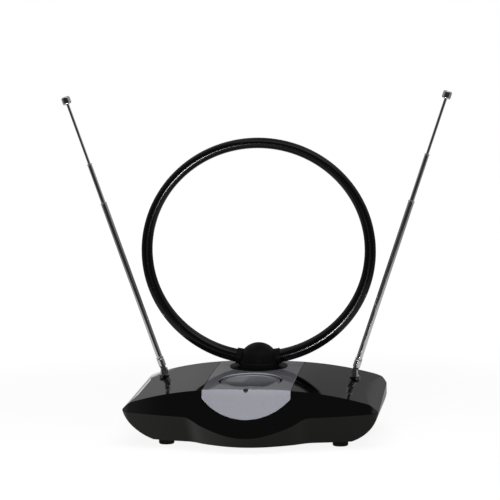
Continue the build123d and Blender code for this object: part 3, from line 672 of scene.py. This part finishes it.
class ANTENNA_OT_rubber_feet(AntennaOperator, bpy.types.Operator):
    """Black rubber of the feet"""

    bl_idname = "antenna.rubber_feet"
    bl_label = "Rubber feet"

    def execute(self, context):
        rubber = tuple(context.scene.antenna_finishes.rubber)
        material, finish, shader = new_material("foot_rubber", specular_ior_level=0.12)
        grain = finish.noise(scale=1800.0, detail=4.0)
        scuff = finish.noise(scale=240.0, detail=3.0).between(0.55, 0.75)
        vary(
            shader,
            finish,
            base_color=finish.tint(scuff, rubber, toned(rubber, 2.2)),
            roughness=0.62 + 0.2 * grain,
            normal=finish.relief(grain, depth=0.00004, strength=0.4),
        )
        dress([f"foot_{row}_{side}" for row in ("front", "rear") for side in SIDES], material)
        return {"FINISHED"}


class ANTENNA_OT_inner_pieces(AntennaOperator, bpy.types.Operator):
    """Finishes of the board and the plastic pieces inside the case"""

    bl_idname = "antenna.inner_pieces"
    bl_label = "Inner pieces"

    def execute(self, context):
        board, finish, shader = new_material("board_lacquer", coat_weight=0.4)
        weave = finish.noise(scale=700.0)
        vary(
            shader,
            finish,
            base_color=finish.tint(weave, *BOARD_GREEN),
            roughness=0.4 + 0.1 * weave,
        )
        dress(["circuit_board"], board)
        plain, finish, shader = new_material("plain_moulding")
        speck = finish.noise(scale=900.0, detail=3.0)
        vary(
            shader,
            finish,
            base_color=finish.tint(speck, *PLAIN_CREAM),
            roughness=0.5 + 0.12 * speck,
        )
        dress(["gain_control", "turret_retainer", "socket_insulator"], plain)
        return {"FINISHED"}


class ANTENNA_OT_aerial_socket(AntennaOperator, bpy.types.Operator):
    """Nickel plate and thread of the aerial socket"""

    bl_idname = "antenna.aerial_socket"
    bl_label = "Aerial socket"

    def execute(self, context):
        fittings = context.scene.antenna_fittings
        nickel = tuple(context.scene.antenna_finishes.nickel)
        material, finish, shader = new_material("nickel_plate", metallic=1.0)
        haze = finish.noise(scale=300.0, detail=3.0)
        vary(
            shader,
            finish,
            base_color=finish.tint(haze, toned(nickel, 0.88), nickel),
            roughness=0.16 + 0.1 * haze,
        )
        dress(["coax_socket"], material)
        mount = mounts["aerial_socket"]
        bm, length = self.thread(mount["dims"]["r_mm"] / 1000, fittings)
        start = Vector(mount["pos_m"]) - Vector(mount["axis"]) * length / 2
        bmesh.ops.transform(bm, matrix=aimed(mount["axis"], start), verts=bm.verts)
        new_piece("socket_thread", bm, material, "base")
        return {"FINISHED"}

    def thread(self, radius, fittings):
        """A flat-topped tooth, spun up along Z with its root in the barrel."""
        pitch, turns = fittings.thread_pitch, fittings.thread_turns
        length = pitch * turns
        root, crest = radius - THREAD_BITE, radius + fittings.thread_depth
        top_start, top_end = (pitch * share for share in TOOTH_TOP)
        tooth = [(root, 0.0), (crest, top_start), (crest, top_end), (root, pitch * TOOTH_END)]
        bm = bmesh.new()
        verts = [bm.verts.new((x, 0.0, z)) for x, z in tooth]
        steps = THREAD_STEPS * turns
        bmesh.ops.spin(
            bm,
            geom=[bm.faces.new(verts)],
            cent=(0, 0, 0),
            axis=(0, 0, 1),
            dvec=(0, 0, length / steps),
            angle=math.tau * turns,
            steps=steps,
        )
        return bm, length


class ANTENNA_OT_case_screws(AntennaOperator, bpy.types.Operator):
    """Cross-recess screws that hold the covers together"""

    bl_idname = "antenna.case_screws"
    bl_label = "Case screws"

    def execute(self, context):
        fittings = context.scene.antenna_fittings
        material, finish, shader = new_material("screw_zinc", metallic=1.0)
        haze = finish.noise(scale=900.0, detail=3.0)
        vary(
            shader,
            finish,
            base_color=finish.tint(haze, *SCREW_GREY),
            roughness=0.25 + 0.2 * haze,
        )
        for row, y in (("front", fittings.screw_front), ("rear", fittings.screw_back)):
            for side, sign in zip(SIDES, (-1, 1)):
                bm = self.screw(fittings.screw_radius, fittings.screw_height)
                place = (sign * fittings.screw_x, y, fittings.screw_seat)
                bmesh.ops.transform(bm, matrix=aimed((0, 0, -1), place), verts=bm.verts)
                new_piece(f"case_screw_{row}_{side}", bm, material, "base")
        return {"FINISHED"}

    def screw(self, radius, height):
        """A pan head on Z with four sunk arms of a cross."""
        flat = radius * SCREW_FLAT
        cell = 2 * flat / SCREW_CELLS

        def in_cross(face):
            x, y = (abs(c) for c in face.calc_center_median().xy)
            return min(x, y) < cell and max(x, y) < radius * SCREW_REACH

        bm = bmesh.new()
        bmesh.ops.create_grid(bm, x_segments=SCREW_CELLS, y_segments=SCREW_CELLS, size=flat)
        sunk = [face for face in bm.faces if in_cross(face)]
        floor = new_verts(bmesh.ops.extrude_face_region(bm, geom=sunk))
        bmesh.ops.delete(bm, geom=sunk, context="FACES_ONLY")
        bmesh.ops.translate(bm, verts=floor, vec=(0, 0, -height * SCREW_SUNK))
        # The square grid becomes round
        for vert in bm.verts:
            vert.co.xy = vert.co.xy.normalized() * max(abs(vert.co.x), abs(vert.co.y))
        for vert in new_verts(bmesh.ops.extrude_edge_only(bm, edges=rim_of(bm))):
            vert.co.xy = vert.co.xy.normalized() * radius
            vert.co.z = -height * SCREW_FALL
        side = new_verts(bmesh.ops.extrude_edge_only(bm, edges=rim_of(bm)))
        bmesh.ops.translate(bm, verts=side, vec=(0, 0, -height * (1 - SCREW_FALL)))
        bmesh.ops.contextual_create(bm, geom=rim_of(bm))
        bmesh.ops.translate(bm, verts=bm.verts, vec=(0, 0, height))
        return bm


class ANTENNA_PT_panel(bpy.types.Panel):
    """Sizes, colours and operators of the antenna"""

    bl_idname = "ANTENNA_PT_panel"
    bl_label = "Antenna"
    bl_space_type = "VIEW_3D"
    bl_region_type = "UI"
    bl_category = "Antenna"

    def draw(self, context):
        for group in PROPERTIES:
            box = self.layout.box()
            settings = getattr(context.scene, group)
            for name in settings.__annotations__:
                box.prop(settings, name)
        for operator in OPERATORS:
            self.layout.operator(operator.bl_idname)


PROPERTIES = {
    "antenna_camera": AntennaCamera,
    "antenna_studio": AntennaStudio,
    "antenna_finishes": AntennaFinishes,
    "antenna_fittings": AntennaFittings,
}
OPERATORS = (
    ANTENNA_OT_stage,
    ANTENNA_OT_black_case,
    ANTENNA_OT_silver_panel,
    ANTENNA_OT_lamp_lens,
    ANTENNA_OT_chrome_rods,
    ANTENNA_OT_rubber_feet,
    ANTENNA_OT_inner_pieces,
    ANTENNA_OT_aerial_socket,
    ANTENNA_OT_case_screws,
)


def register():
    for group, settings in PROPERTIES.items():
        bpy.utils.register_class(settings)
        setattr(bpy.types.Scene, group, PointerProperty(type=settings))
    for operator in OPERATORS:
        bpy.utils.register_class(operator)
    bpy.utils.register_class(ANTENNA_PT_panel)


def unregister():
    bpy.utils.unregister_class(ANTENNA_PT_panel)
    for operator in reversed(OPERATORS):
        bpy.utils.unregister_class(operator)
    for group, settings in PROPERTIES.items():
        delattr(bpy.types.Scene, group)
        bpy.utils.unregister_class(settings)


def main():
    register()
    bpy.ops.antenna.stage()
    bpy.ops.antenna.black_case()
    bpy.ops.antenna.silver_panel()
    bpy.ops.antenna.lamp_lens()
    bpy.ops.antenna.chrome_rods()
    bpy.ops.antenna.rubber_feet()
    bpy.ops.antenna.inner_pieces()
    bpy.ops.antenna.aerial_socket()
    bpy.ops.antenna.case_screws()


if __name__ == "__main__":
    main()
